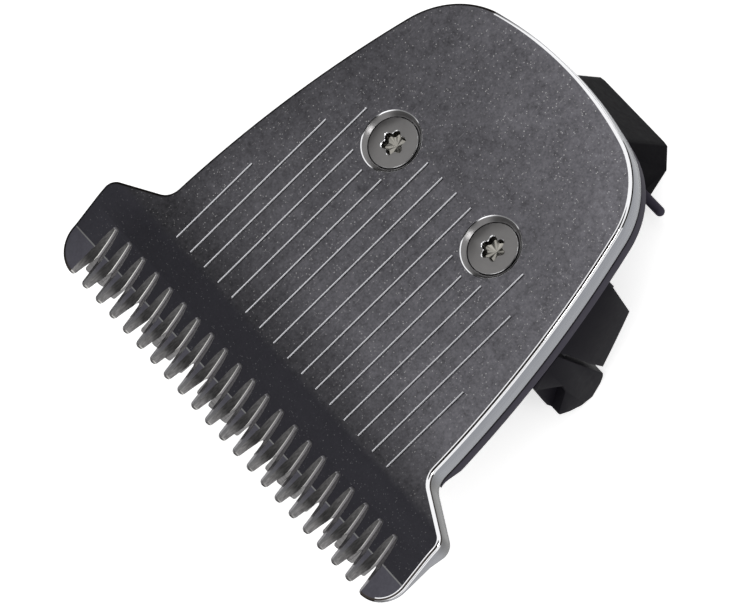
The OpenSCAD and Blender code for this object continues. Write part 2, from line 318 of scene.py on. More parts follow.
def plan(inset=0.0):
    """The plate's outline as tangent arcs, anticlockwise, set in by a distance."""
    s = bpy.context.scene.head_sizes
    steps = 4
    half_w = s.plate_width / 2
    back_y = s.plate_length + TIP_Y
    tilt = math.radians(EAR_TILT)
    side = (s.neck_width / 2 - SIDE_R, WAIST_Y)
    back = (0.0, back_y - BACK_R)
    shoulder = (half_w - SHOULDER_R,
                EAR_BACK_Y - SHOULDER_R * math.tan(math.radians((90 - EAR_TILT) / 2)))
    root_x = s.neck_width / 2 - ROOT_BITE + ROOT_R
    root = (root_x, EAR_BACK_Y + (half_w - root_x) * math.tan(tilt) + ROOT_R / math.cos(tilt))
    root_a = math.degrees(math.atan2(root[1] - side[1], root[0] - side[0]))
    # The corner arc touches the side and back arcs: its centre is where two circles about theirs cross.
    ra, rb = SIDE_R - CORNER_R, BACK_R - CORNER_R
    dx, dy = back[0] - side[0], back[1] - side[1]
    d = math.hypot(dx, dy)
    a = (ra * ra - rb * rb + d * d) / (2 * d)
    h = math.sqrt(ra * ra - a * a)
    corner = (side[0] + a / d * dx - h / d * dy, side[1] + a / d * dy + h / d * dx)
    corner_a = math.degrees(math.atan2(corner[1] - side[1], corner[0] - side[0]))
    back_a = math.degrees(math.atan2(corner[1] - back[1], corner[0] - back[0]))
    half = (arc((half_w - TIP_R, TIP_Y + TIP_R), TIP_R - inset, -90, 0, 4 * steps)
            + arc(shoulder, SHOULDER_R - inset, 0, 90 - EAR_TILT, 2 * steps)
            + arc(root, ROOT_R + inset, 270 - EAR_TILT, 180 + root_a, 2 * steps)
            + arc(side, SIDE_R - inset, root_a, corner_a, 5 * steps)[1:]
            + arc(corner, CORNER_R - inset, corner_a, back_a, 5 * steps)[1:]
            + arc(back, BACK_R - inset, back_a, 90, 2 * steps)[1:])
    return half + [(-x, y) for x, y in reversed(half[:-1])]


def slab(name, points, z0, z1, *finishes):
    """A round disc whose rim is moved onto the given outline, then drawn up into a slab."""
    bpy.ops.mesh.primitive_circle_add(
        vertices=len(points), fill_type="NGON", radius=1, location=(0, 0, z0))
    obj = named(name)
    bpy.ops.object.transform_apply(location=True, rotation=True, scale=True)
    for v, p in zip(obj.data.vertices, points):
        v.co.x, v.co.y = p
    edit(obj, "FACE")
    bpy.ops.mesh.select_all(action="SELECT")
    bpy.ops.mesh.extrude_region_move(TRANSFORM_OT_translate={"value": (0, 0, z1 - z0)})
    done()
    outward(obj)
    add_finishes(obj, *finishes)
    return obj


def top_z(y):
    """Height of the plate's upper face."""
    if y >= BEND_Y:
        return 0.0
    if y >= BEND_END_Y:
        return -BEND_R + math.sqrt(BEND_R ** 2 - (y - BEND_Y) ** 2)
    if y >= CREASE_Y:
        bend_z = top_z(BEND_END_Y)
        return bend_z + (CREASE_Z - bend_z) * (y - BEND_END_Y) / (CREASE_Y - BEND_END_Y)
    return CREASE_Z + (y - CREASE_Y) * TIP_RISE


def under_z(y, t):
    """Height of the plate's lower face: thin where the cutter runs, full thickness behind."""
    share = (STEP_BACK_Y - y) / (STEP_BACK_Y - STEP_FRONT_Y)
    return -t + (t - STEP_T) * min(1.0, max(0.0, share))


# ---------------------------------------------------------------- finishes
# Grains per metre of the blasted face and of the moulded plastic.
GRAIN, MOULD_GRAIN = 6000.0, 2500.0
# Heights of the bumps, in metres: blasted, moulded, turned, ground fine and polished.
BLASTED, SPARK_ERODED, TURNED, FINE, MIRROR = 4e-6, 6e-6, 2e-6, 1e-6, 3e-7
# Grinding marks per metre along each axis: on the plate's walls, in its slots and on flat faces.
GRIND_WALL, GRIND_SLOT, GRIND_FLAT = (400, 400, 9000), (9000, 2500, 9000), (300, 9000, 9000)
SPECK_COLOUR, BAND_SPECK_COLOUR = (0.6, 0.59, 0.59), (0.35, 0.35, 0.36)
SCRATCH_COLOUR = (0.35, 0.34, 0.35)


def group(name, inputs, outputs):
    """An empty shader node group with named sockets; returns it with its two end nodes."""
    g = bpy.data.node_groups.new(name, "ShaderNodeTree")
    for label, kind, default in inputs:
        s = g.interface.new_socket(name=label, in_out="INPUT", socket_type=kind)
        s.default_value = default
    for label, kind in outputs:
        g.interface.new_socket(name=label, in_out="OUTPUT", socket_type=kind)
    return g, g.nodes.new("NodeGroupInput"), g.nodes.new("NodeGroupOutput")


def node(tree, kind, **values):
    """A node with its properties and its unlinked inputs set by name or number."""
    n = tree.nodes.new(kind)
    for key, value in values.items():
        if key.startswith("in_"):
            label = key[3:].replace("_", " ")
            sock = n.inputs[int(label)] if label.isdigit() else n.inputs[label]
            sock.default_value = value
        else:
            setattr(n, key, value)
    return n


def math_node(tree, operation, a, b):
    """Output of a sum; a and b are sockets or numbers."""
    n = node(tree, "ShaderNodeMath", operation=operation)
    for i, v in enumerate((a, b)):
        if isinstance(v, (int, float)):
            n.inputs[i].default_value = v
        else:
            tree.links.new(v, n.inputs[i])
    return n.outputs[0]


def ramp(tree, value, low, high):
    """A grey ramp between two stops, each a position and a level."""
    n = tree.nodes.new("ShaderNodeValToRGB")
    for el, (position, level) in zip(n.color_ramp.elements, (low, high)):
        el.position = position
        el.color = (level, level, level, 1)
    tree.links.new(value, n.inputs["Fac"])
    return n.outputs["Color"]


def mix(tree, fac, a, b, blend="MIX"):
    """Colour output of a mix; fac, a and b are sockets, numbers or colours."""
    n = tree.nodes.new("ShaderNodeMix")
    n.data_type = "RGBA"
    n.blend_type = blend
    n.clamp_factor = True
    for sock, v in ((n.inputs["Factor"], fac), (n.inputs["A"], a), (n.inputs["B"], b)):
        if isinstance(v, (int, float)):
            sock.default_value = v if sock.type == "VALUE" else (v, v, v, 1)
        elif isinstance(v, tuple):
            sock.default_value = (*v, 1)
        else:
            tree.links.new(v, sock)
    return n.outputs["Result"]


def along(tree, axis, start, end):
    """0 to 1 along one of the plate's axes, between two places in millimetres."""
    k = "xyz".index(axis)
    split = tree.nodes.new("ShaderNodeSeparateXYZ")
    tree.links.new(node(tree, "ShaderNodeTexCoord").outputs["Object"], split.inputs[0])
    n = node(tree, "ShaderNodeMapRange", interpolation_type="SMOOTHSTEP",
             in_From_Min=ORIGIN[k] + start * MM, in_From_Max=ORIGIN[k] + end * MM)
    tree.links.new(split.outputs[k], n.inputs["Value"])
    return n.outputs[0]


def grain_group():
    """Blasted grain: fine bright specks over slow cloudy patches. Scale is grains per metre."""
    g, i, o = group("blasted_grain",
                    [("Scale", "NodeSocketFloat", GRAIN), ("Specks", "NodeSocketFloat", 0.5)],
                    [(label, "NodeSocketFloat") for label in ("Clouds", "Specks", "Height")])
    at = node(g, "ShaderNodeTexCoord").outputs["Object"]

    def noise(scale, detail, roughness):
        n = node(g, "ShaderNodeTexNoise", in_Detail=detail, in_Roughness=roughness)
        g.links.new(at, n.inputs["Vector"])
        g.links.new(scale, n.inputs["Scale"])
        return n.outputs["Fac"]

    fine = noise(i.outputs["Scale"], 2.0, 0.6)
    middle = noise(math_node(g, "MULTIPLY", i.outputs["Scale"], 0.3), 2.0, 0.6)
    slow = noise(math_node(g, "MULTIPLY", i.outputs["Scale"], 0.07), 4.0, 0.7)
    clouds = math_node(g, "MULTIPLY", fine, 0.4)
    for part in (middle, slow):
        clouds = math_node(g, "ADD", clouds, math_node(g, "MULTIPLY", part, 0.3))
    speck = node(g, "ShaderNodeTexVoronoi", in_Randomness=1.0)
    g.links.new(at, speck.inputs["Vector"])
    g.links.new(math_node(g, "MULTIPLY", i.outputs["Scale"], 1.5), speck.inputs["Scale"])
    speck_r, share_without = 0.36, 0.8
    near = math_node(g, "LESS_THAN", speck.outputs["Distance"], speck_r)
    lucky = node(g, "ShaderNodeSeparateColor")
    g.links.new(speck.outputs["Color"], lucky.inputs[0])
    rare = math_node(g, "GREATER_THAN", lucky.outputs[0], share_without)
    bright = math_node(g, "MULTIPLY", near, rare)
    bright = math_node(g, "MULTIPLY", bright, math_node(g, "POWER", lucky.outputs[1], 2.0))
    g.links.new(math_node(g, "MULTIPLY", bright, i.outputs["Specks"]), o.inputs["Specks"])
    g.links.new(clouds, o.inputs["Clouds"])
    g.links.new(fine, o.inputs["Height"])


# Scratches are this narrow and long, in steps per metre, and rarer the higher the level.
SCRATCH_SCALE = (9000, 1400, 1400)
SCRATCH_LEVEL = 0.83


def scratch_group():
    """A few fine scratches: thin lines along stretched noise, in three directions."""
    g, i, o = group("fine_scratches",
                    [("Amount", "NodeSocketFloat", 0.5)], [("Mask", "NodeSocketFloat")])
    at = node(g, "ShaderNodeTexCoord").outputs["Object"]
    masks = []
    for angle, seed in ((0.35, 3.0), (-0.6, 11.0), (1.2, 23.0)):
        turn = node(g, "ShaderNodeMapping")
        turn.inputs["Rotation"].default_value = (0, 0, angle)
        turn.inputs["Location"].default_value = (seed, seed, 0)
        turn.inputs["Scale"].default_value = SCRATCH_SCALE
        g.links.new(at, turn.inputs["Vector"])
        n = node(g, "ShaderNodeTexNoise", in_Scale=1.0, in_Detail=0.0)
        g.links.new(turn.outputs[0], n.inputs["Vector"])
        masks.append(math_node(g, "GREATER_THAN", n.outputs["Fac"], SCRATCH_LEVEL))
    most = math_node(g, "MAXIMUM", math_node(g, "MAXIMUM", masks[0], masks[1]), masks[2])
    g.links.new(math_node(g, "MULTIPLY", most, i.outputs["Amount"]), o.inputs["Mask"])


def use(tree, g, **values):
    """A node that uses one of the groups, with its inputs set."""
    n = tree.nodes.new("ShaderNodeGroup")
    n.node_tree = bpy.data.node_groups[g]
    for key, value in values.items():
        n.inputs[key].default_value = value
    return n


def material(name, roughness, metallic=0.0):
    """A new material with its tree and its shader."""
    m = bpy.data.materials.new(name)
    m.use_nodes = True
    b = m.node_tree.nodes["Principled BSDF"]
    b.inputs["Metallic"].default_value = metallic
    b.inputs["Roughness"].default_value = roughness
    return m, m.node_tree, b


def bump(tree, bsdf, height, distance):
    n = node(tree, "ShaderNodeBump", in_Strength=1.0, in_Distance=distance)
    tree.links.new(height, n.inputs["Height"])
    tree.links.new(n.outputs[0], bsdf.inputs["Normal"])


def shade(colour, share):
    return tuple(min(1.0, c * share) for c in colour)


def steel(name, colour, roughness, tint, spread=0.12, grind=None, specks=0.0, scale=GRAIN,
          height=BLASTED, scratches=0.0, changes=()):
    """Steel whose colour and sheen vary with its grain.

    spread is how much the sheen varies and tint how much the colour does. grind is
    the scale of grinding marks along the three axes, which take the grain's place.
    Each change is an axis, two places along it and the colour that the steel passes
    into between them."""
    m, t, b = material(name, roughness, 1.0)
    g = use(t, "blasted_grain", Scale=scale, Specks=specks)
    grain = g.outputs["Clouds"]
    if grind:
        stretch = node(t, "ShaderNodeMapping")
        stretch.inputs["Scale"].default_value = grind
        t.links.new(node(t, "ShaderNodeTexCoord").outputs["Object"], stretch.inputs["Vector"])
        n = node(t, "ShaderNodeTexNoise", in_Scale=1.0, in_Detail=3.0)
        t.links.new(stretch.outputs[0], n.inputs["Vector"])
        grain = n.outputs["Fac"]
    base = colour
    for axis, start, end, other in changes:
        base = mix(t, along(t, axis, start, end), base, other)
    base = mix(t, 1.0, base, ramp(t, grain, (0.3, 1 - tint), (0.7, 1.0)), "MULTIPLY")
    if specks:
        base = mix(t, g.outputs["Specks"], base, SPECK_COLOUR)
    if scratches:
        mask = use(t, "fine_scratches", Amount=scratches).outputs["Mask"]
        base = mix(t, mask, base, SCRATCH_COLOUR)
    t.links.new(base, b.inputs["Base Color"])
    sheen = math_node(t, "MULTIPLY_ADD", grain, spread)
    sheen.node.inputs[2].default_value = roughness - spread / 2
    t.links.new(sheen, b.inputs["Roughness"])
    bump(t, b, grain if grind else g.outputs["Height"], height)
    return m


def plastic(name, colour, roughness=0.5, gloss=0.05):
    """Moulded plastic: spark-eroded grain, slightly uneven sheen, paler rubbed patches."""
    spread = 0.16
    _, t, b = material(name, roughness)
    b.inputs["Specular IOR Level"].default_value = gloss
    g = use(t, "blasted_grain", Scale=MOULD_GRAIN, Specks=0.0)
    base = mix(t, g.outputs["Clouds"], shade(colour, 0.7), shade(colour, 1.35))
    t.links.new(base, b.inputs["Base Color"])
    sheen = math_node(t, "MULTIPLY_ADD", g.outputs["Height"], spread)
    sheen.node.inputs[2].default_value = roughness - spread / 2
    t.links.new(sheen, b.inputs["Roughness"])
    bump(t, b, g.outputs["Height"], SPARK_ERODED)


def blasted_face(plate, band):
    """Top face of the plate: paler towards the back, darker at the front, and painted lighter towards
    the right, where the key lamp's light falls.
    """
    # The change along x is painted light: the face grows paler towards the right, where the key lamp
    # shines.
    m = steel("blasted_face", shade(plate, 0.95), 0.42, specks=0.75, tint=0.7, scratches=0.25,
              changes=[("x", -13, 15, shade(plate, 1.32))])
    t = m.node_tree
    colours = t.nodes["Principled BSDF"].inputs["Base Color"]
    at_front, at_back = 0.35, 1.3
    level = mix(t, along(t, "y", 16, 25), mix(t, along(t, "y", -1.5, 5.5), at_front, 1.0), at_back)
    rest = mix(t, 1.0, colours.links[0].from_socket, level, "MULTIPLY")
    grain = use(t, "blasted_grain", Scale=GRAIN, Specks=0.25)
    front = mix(t, along(t, "x", -13, -17), band, shade(band, 1.4))
    front = mix(t, 1.0, front, ramp(t, grain.outputs["Clouds"], (0.3, 0.75), (0.7, 1.0)), "MULTIPLY")
    front = mix(t, grain.outputs["Specks"], front, BAND_SPECK_COLOUR)
    t.links.new(mix(t, along(t, "y", -0.6, 0.1), front, rest), colours)


class HEAD_OT_finishes(bpy.types.Operator):
    """Makes the steels, plastics and brass that the pieces use"""
    bl_idname = "trimmer_head.finishes"
    bl_label = "Finishes"

    def execute(self, context):
        c = context.scene.head_colours
        plate, band, ground, polished = tuple(c.plate), tuple(c.band), tuple(c.ground), tuple(c.polished)
        black = tuple(c.plastic)
        grain_group()
        scratch_group()
        blasted_face(plate, band)

        # Front and edge of the plate
        ear = shade(band, 2.4)
        steel("tip_face", ear, 0.35, tint=0.3, changes=[
            ("y", -4.8, -6.5, (0.24, 0.24, 0.24)), ("x", 15.3, 15.6, ear), ("x", -15.3, -15.6, ear)])
        steel("tip_end", shade(ground, 0.4), 0.3, tint=0.3)
        # A strip paler than the tips' faces: a painted highlight along the crease.
        steel("crease_highlight", (0.21, 0.21, 0.21), 0.3, tint=0.2)
        steel("polished_rim", polished, 0.05, spread=0.02, tint=0.03, height=MIRROR)
        steel("satin_wall", (0.35, 0.355, 0.38), 0.25, spread=0.1, tint=0.15, grind=GRIND_WALL,
              height=FINE,
              changes=[("y", -1.6, -0.5, (0.17, 0.17, 0.17)), ("y", 1.1, 2.3, (0.34, 0.35, 0.38))])
        steel("ground_under", ground, 0.32, grind=GRIND_FLAT, tint=0.25)
        # Near-black steel on strips of the polished rim: painted dark reflections.
        steel("rim_dark_reflection", (0.06, 0.052, 0.048), 0.3, tint=0.1, height=FINE)

        # Slots, engraved lines and screw seats
        # The slots' faces take lit and shaded copies of the ground steel by which way they face: a
        # painted highlight along the floor, paler towards the left, and painted shade on the near walls,
        # darkest midway down the slots and paler at the tips.
        steel("slot_glint", (0.46, 0.45, 0.44), 0.25, tint=0.1, height=FINE,
              changes=[("x", 8, -14, (0.75, 0.74, 0.71))])
        steel("slot_floor", (0.27, 0.26, 0.27), 0.4, tint=0.2, height=FINE)
        steel("slot_wall", shade(ground, 0.36), 0.35, grind=GRIND_SLOT, tint=0.5,
              changes=[("y", -2.9, -4.8, shade(ground, 0.15)), ("y", -5.0, -6.3, shade(ground, 0.8))])
        steel("slot_far_wall", (0.42, 0.41, 0.43), 0.35, grind=GRIND_SLOT, tint=0.4)
        steel("line_near_wall", (0.72, 0.72, 0.75), 0.3, tint=0.1, height=FINE)
        # A dark copy of the blasted steel on the engraved lines' far walls: painted shade.
        steel("line_shadow_wall", shade(plate, 0.3), 0.4, tint=0.2, height=FINE)
        steel("turned_seat", (0.22, 0.215, 0.215), 0.3, spread=0.06, tint=0.15, height=FINE)

        # Cutter, screws, springs and inserts
        steel("cutter_face", shade(ground, 0.7), 0.35, grind=GRIND_FLAT, tint=0.4)
        steel("cutter_edge", shade(ground, 1.2), 0.25, tint=0.1, height=FINE)
        steel("recess_floor", (0.38, 0.365, 0.33), 0.25, tint=0.2, height=FINE)
        # Near-black steel on the walls of the screw recesses and of the seat bores: painted shade in
        # these hollows.
        steel("recess_shade", (0.05, 0.048, 0.045), 0.3, tint=0.2, height=FINE)
        steel("screw_head", tuple(c.screw), 0.3, tint=0.12, scale=GRAIN / 2, height=TURNED)
        steel("screw_edge", polished, 0.15, spread=0.05, tint=0.05, height=FINE)
        steel("spring_wire", ground, 0.25, tint=0.2, height=FINE)
        steel("turned_brass", tuple(c.brass), 0.3, tint=0.2, height=TURNED)

        # Plastics
        plastic("moulded_black", black)
        # Lighter and darker copies of the same black plastic: painted light on the frame's lower part
        # and the pegs, painted shade on the rear block.
        plastic("lit_black", shade(black, 5.4))
        plastic("shaded_black", shade(black, 0.46), gloss=0.015)
        plastic("moulded_white", tuple(c.carrier), 0.4, gloss=0.5)
        return {"FINISHED"}


def mat(name):
    return bpy.data.materials[name]


# ---------------------------------------------------------------- guard plate
SLOTS, LINES = 21, 16
# Width of the slots' floor, radius of its rounding, and how far the walls spread per mm of height.
SLOT_FLOOR, SLOT_ROUND, SLOT_SLOPE = 0.13, 0.22, 1.11
SLOT_TIP_Z = -1.58
# Floor of a slot from back to front, as y and z: its rounded nose first, with z from the plate's face.
SLOT_START = [(-2.38, 0.04), (-2.4, 0.0), (-2.43, -0.06), (-2.48, -0.11), (-2.55, -0.15)]
SLOT_PATH = [(-2.62, -0.52), (-3.0, -0.71), (-3.4, -0.88), (-3.8, -1.03),
             (-4.6, -1.3), (-5.2, -1.39), (-5.8, -1.5)]
SLOT_FINISHES = SLOT_BED, SLOT_WALL, SLOT_FAR_WALL, SLOT_GLINT = (
    "slot_floor", "slot_wall", "slot_far_wall", "slot_glint")
TIP_ROUND = 0.3
# The screws' places, the plane that their heads sit on and the plane in which the teeth shear.
SCREW_X, SCREW_Y = 5.25, 14.14
SEAT_Z = -1.03
SHEAR_Z = -1.3


def slot_rows():
    """Sections of the slots from back to front: (y, floor z, widening at the rounded tips)."""
    rows = [(y, top_z(y) + z, 0.0) for y, z in SLOT_START] + [(y, z, 0.0) for y, z in SLOT_PATH]
    start, last_angle, steps, beyond_y = TIP_Y + TIP_ROUND, 90 * 0.97, 4, -7.2
    for k in range(steps + 1):
        a = math.radians(last_angle * k / steps)
        rows.append((start - TIP_ROUND * math.sin(a), SLOT_TIP_Z, TIP_ROUND * (1 - math.cos(a))))
    rows.append((beyond_y, SLOT_TIP_Z, rows[-1][2]))
    return rows


def slot_finish(f):
    """Paint of one face of the slots, by which way the cutting comb's face looks: lit and shaded copies
    of the ground steel, with a painted highlight along the floor.
    """
    wall, glint = 0.62, 0.45
    x = f.normal.x
    if f.center.y > SLOT_PATH[0][0] or x >= wall:
        return SLOT_FAR_WALL
    return SLOT_WALL if x < -wall else SLOT_GLINT if x < -glint else SLOT_BED


def slot_comb():
    """One solid that fills all the slots between the teeth: V shaped, with rounded floors."""
    pitch = bpy.context.scene.head_sizes.tooth_pitch
    rows = slot_rows()
    last = (SLOTS - 1) // 2
    lean = math.degrees(math.atan(1 / SLOT_SLOPE))
    floor = [lean * (i / 3 - 1) for i in range(7)]
    rise = SLOT_ROUND / math.sin(math.radians(90 - lean)) - SLOT_FLOOR / 2 / SLOT_SLOPE
    columns = [("wall", -last)]
    for k in range(-last, last + 1):
        columns += [(a, k) for a in floor] + [("crest", k)]
    columns[-1] = ("wall", last)
    bpy.ops.mesh.primitive_grid_add(
        x_subdivisions=len(columns) - 1, y_subdivisions=len(rows) - 1, size=1)
    obj = named("slot_comb")
    order = sorted(obj.data.vertices, key=lambda v: (-round(v.co.y, 4), round(v.co.x, 4)))
    reach, top = 2.3, 2.5
    for i, (y, z, wider) in enumerate(rows):
        f = SLOT_FLOOR / 2 + wider
        for j, (kind, k) in enumerate(columns):
            v = order[i * len(columns) + j]
            if kind == "wall":
                side = -1 if k < 0 else 1
                v.co = (k * pitch + side * (f + SLOT_SLOPE * reach), y, z + reach)
            elif kind == "crest":
                v.co = ((k + 0.5) * pitch, y, z + (pitch / 2 - f) / SLOT_SLOPE)
            else:
                a = math.radians(kind)
                aside = SLOT_ROUND * math.sin(a) + math.copysign(wider, a) * (abs(a) > NEAR)
                v.co = (k * pitch + aside, y, z + rise - SLOT_ROUND * math.cos(a))
    edit(obj, "FACE")
    bpy.ops.mesh.select_all(action="SELECT")
    bpy.ops.mesh.extrude_region_move(TRANSFORM_OT_translate={"value": (0, 0, 1)})
    done()
    for v in obj.data.vertices:
        if v.select:
            v.co.z = top
    outward(obj, TINY)
    add_finishes(obj, *SLOT_FINISHES)
    for f in obj.data.polygons:
        f.material_index = SLOT_FINISHES.index(slot_finish(f))
    return obj


def line_end(k):
    """Where the k-th line from the middle stops: short of the screws, shorter at the sides."""
    x = (k + 0.5) * bpy.context.scene.head_sizes.tooth_pitch
    longest, clear = 14.9, 2.6
    shares = {5: 0.97, 6: 0.81, 7: 0.45}
    if k in shares:
        return shares[k] * longest
    dx = abs(x - SCREW_X)
    return SCREW_Y - math.sqrt(clear ** 2 - dx ** 2) if dx < clear else longest


def engraver(x, end):
    """A bar with a pointed underside, steeper at the left, that cuts one engraved line, its far wall
    painted dark as shade.
    """
    depth, half, lean = 0.08, 0.065, 0.12
    bpy.ops.mesh.primitive_cube_add(size=1, location=(x, end / 2, 0))
    obj = named("engraver")
    obj.scale = (2 * half, end, 2 * depth)
    bpy.ops.object.transform_apply(location=True, rotation=True, scale=True)
    edit(obj, "VERT")
    pick(obj, "VERT", lambda v: v.z < 0)
    bpy.ops.transform.resize(value=(0.02, 1, 1), center_override=(x, end / 2, 0))
    pick(obj, "VERT", lambda v: v.z > 0)
    bpy.ops.transform.resize(value=(2, 1, 1), center_override=(x, end / 2, 0))
    pick(obj, "VERT", lambda v: v.z > 0 and v.x > x)
    bpy.ops.transform.translate(value=(lean, 0, 0))
    done()
    add_finishes(obj, "line_near_wall", "line_shadow_wall")
    for f in obj.data.polygons:
        f.material_index = 1 if f.normal.x > 0.1 else 0
    return obj


# The rim between the ears counts as the tips' ends in front of this.
TIP_END_Y = -5.5
# Rounding of the lower edge, and the most that each rounding may take of the plate's thickness.
FOOT_R = 0.06
MOST_ROUND, MOST_FOOT = 0.42, 0.3
PLATE_FINISHES = ("blasted_face", "polished_rim", "satin_wall", "ground_under",
                  "tip_face", "crease_highlight", "tip_end", "rim_dark_reflection")


def bend_slices(obj):
    """Cuts the plate across wherever its face changes slope, then lets it down to its profile."""
    s = bpy.context.scene.head_sizes
    t, r = s.plate_thickness, s.edge_round
    bend = [BEND_Y + (BEND_END_Y - BEND_Y) * k / 6 for k in range(7)]
    tips = [-5.2, -5.9, -6.3]
    cuts = bend + [STEP_BACK_Y, STEP_FRONT_Y, CREASE_GLINT_BACK_Y, CREASE_Y, CREASE_GLINT_FRONT_Y] + tips
    edit(obj)
    for y in cuts:
        bpy.ops.mesh.select_all(action="SELECT")
        bpy.ops.mesh.bisect(plane_co=(0, y, 0), plane_no=(0, 1, 0))
    done()
    for v in obj.data.vertices:
        top, low = top_z(v.co.y), under_z(v.co.y, t)
        thick = top - low
        if v.co.z > -r - NEAR:
            v.co.z = top + v.co.z * min(1, MOST_ROUND * thick / r)
        elif v.co.z < -t + FOOT_R + NEAR:
            v.co.z = low + (v.co.z + t) * min(1, MOST_FOOT * thick / FOOT_R)


def edge_finish(f):
    """Finish of one face of the flat plate, by how far up and how far back it looks.

    Painted dark reflections run along the polished rim: one high on it at the sides and one low on it at
    the back. At the left, on the outer left corner and at the very front the blasted face runs on over
    the start of the rim, and all the rest of it is painted dark as a reflection of the dark side of the
    studio."""
    up, flat = f.normal.z, f.normal.xy.length
    back = f.normal.y / max(flat, TINY)
    if up > LEVEL:
        return "blasted_face"
    if up < -0.02:
        return "ground_under"
    if up <= 0.02:
        return "satin_wall"
    left = f.normal.x < -0.3 * flat or f.center.x < -14 and f.center.y < -4
    if left or f.center.y < -5 and back < -0.85:
        return "blasted_face" if up > 0.95 else "rim_dark_reflection"
    high_dark_reflection = 0.75 < up < 0.95 and back < 0.3
    low_dark_reflection = up < 0.45 and 0.35 < back < 0.97
    return "rim_dark_reflection" if high_dark_reflection or low_dark_reflection else "polished_rim"


def front_finish(f, finish, plate_width):
    """Finish of the same face once the plate is bent: the tips have their own, and the crease a painted
    highlight.
    """
    if finish == "blasted_face" and f.center.y < CREASE_GLINT_BACK_Y:
        return "tip_face" if f.center.y < CREASE_GLINT_FRONT_Y else "crease_highlight"
    at_tips = f.center.y < TIP_END_Y and abs(f.center.x) < plate_width / 2 - TIP_R
    if at_tips and finish in ("polished_rim", "satin_wall", "rim_dark_reflection"):
        return "tip_end"
    return finish


class HEAD_OT_guard_plate(bpy.types.Operator):
    """Toothed guard plate: blasted face, polished edge, ground slots, engraved lines and screw seats"""
    bl_idname = "trimmer_head.guard_plate"
    bl_label = "Guard plate"

    def execute(self, context):
        s = context.scene.head_sizes
        t = s.plate_thickness
        obj = slab("guard_plate_steel", plan(), -t, 0, *PLATE_FINISHES)
        edit(obj, "EDGE")
        pick(obj, "EDGE", at_height(0))
        bpy.ops.mesh.bevel(offset=s.edge_round, segments=6, affect="EDGES")
        pick(obj, "EDGE", at_height(-t))
        bpy.ops.mesh.bevel(offset=FOOT_R, segments=2, affect="EDGES")
        done()
        for f in obj.data.polygons:
            f.material_index = PLATE_FINISHES.index(edge_finish(f))
        bend_slices(obj)
        for f in obj.data.polygons:
            finish = front_finish(f, PLATE_FINISHES[f.material_index], s.plate_width)
            f.material_index = PLATE_FINISHES.index(finish)
        carve(obj, slot_comb())

        # Underside: the cutter's pocket, inside the edge, and the guide rail's behind it
        below, above = -t - 0.2, SHEAR_Z - 0.001
        inset, back_y = 0.5, 1.2
        rail_x, rail_front_y, rail_back_y = 12.9, 1.0, 4.35
        front = [p for p in plan(inset) if p[1] < back_y]
        carve(obj, slab("cutter_pocket", front, below, above, "ground_under"))
        carve(obj, block("rail_pocket", (-rail_x, rail_front_y, below), (rail_x, rail_back_y, above),
                         "ground_under"))

        lines = [engraver(side * (k + 0.5) * s.tooth_pitch, line_end(k))
                 for k in range(LINES // 2) for side in (-1, 1)]
        carve(obj, join(lines, "lines"))
        hole_r, bore_r, mouth_r, mouth_edge_r = 1.15, 1.78, 2.05, 2.13
        for side in (-1, 1):
            # The seat bore's wall is painted dark as shade in the gap around the screw head.
            carve(obj, turned("seat", [
                (-3, hole_r, "ground_under"), (SEAT_Z, hole_r, "ground_under"),
                (SEAT_Z + 0.001, bore_r, "ground_under"), (-0.34, bore_r, "recess_shade"),
                (-0.04, mouth_r, "turned_seat"), (0.01, mouth_edge_r, "polished_rim"),
                (0.5, mouth_edge_r, "polished_rim")], side * SCREW_X, SCREW_Y))
        smooth(obj, SMOOTH_STEEL)
        finish_piece(obj, "head", "blasted_steel", "guard_plate")
        return {"FINISHED"}


# ---------------------------------------------------------------- pieces that start from the CAD
# Faces that meet at less than this angle are one, in degrees.
FLAT_ENOUGH = 0.2


def cad_copy(node_name, name, finish, rounding, segments=2):
    """A merged copy of a CAD solid, in millimetres, with its edges rounded."""
    obj = bpy.data.objects.new(name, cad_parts[node_name].data.copy())
    obj.data.name = name
    bpy.context.scene.collection.objects.link(obj)
    obj.data.transform(Matrix.Scale(1 / MM, 4) @ Matrix.Translation(-ORIGIN))
    obj.data.materials.clear()
    add_finishes(obj, finish)
    for f in obj.data.polygons:
        f.material_index = 0
    edit(obj)
    bpy.ops.mesh.select_all(action="SELECT")
    bpy.ops.mesh.customdata_custom_splitnormals_clear()
    bpy.ops.mesh.remove_doubles(threshold=NEAR)
    bpy.ops.mesh.dissolve_limited(angle_limit=math.radians(FLAT_ENOUGH))
    bpy.ops.mesh.normals_make_consistent(inside=False)
    done()
    round_edges(obj, rounding, segments, SMOOTH_CAD)
    return smooth(obj, SMOOTH_CAD)


# The rear block lies behind this, and is this wide without its pegs.
BLOCK_FRONT_Y = 20.3
BLOCK_HALF_W = 5.21
# Above this the frame's top, under the plate's edge, keeps the darkest plastic as a painted shadow line;
# the frame's lower part starts here.
PAINTED_SHADOW_LOW_Z = -2.03


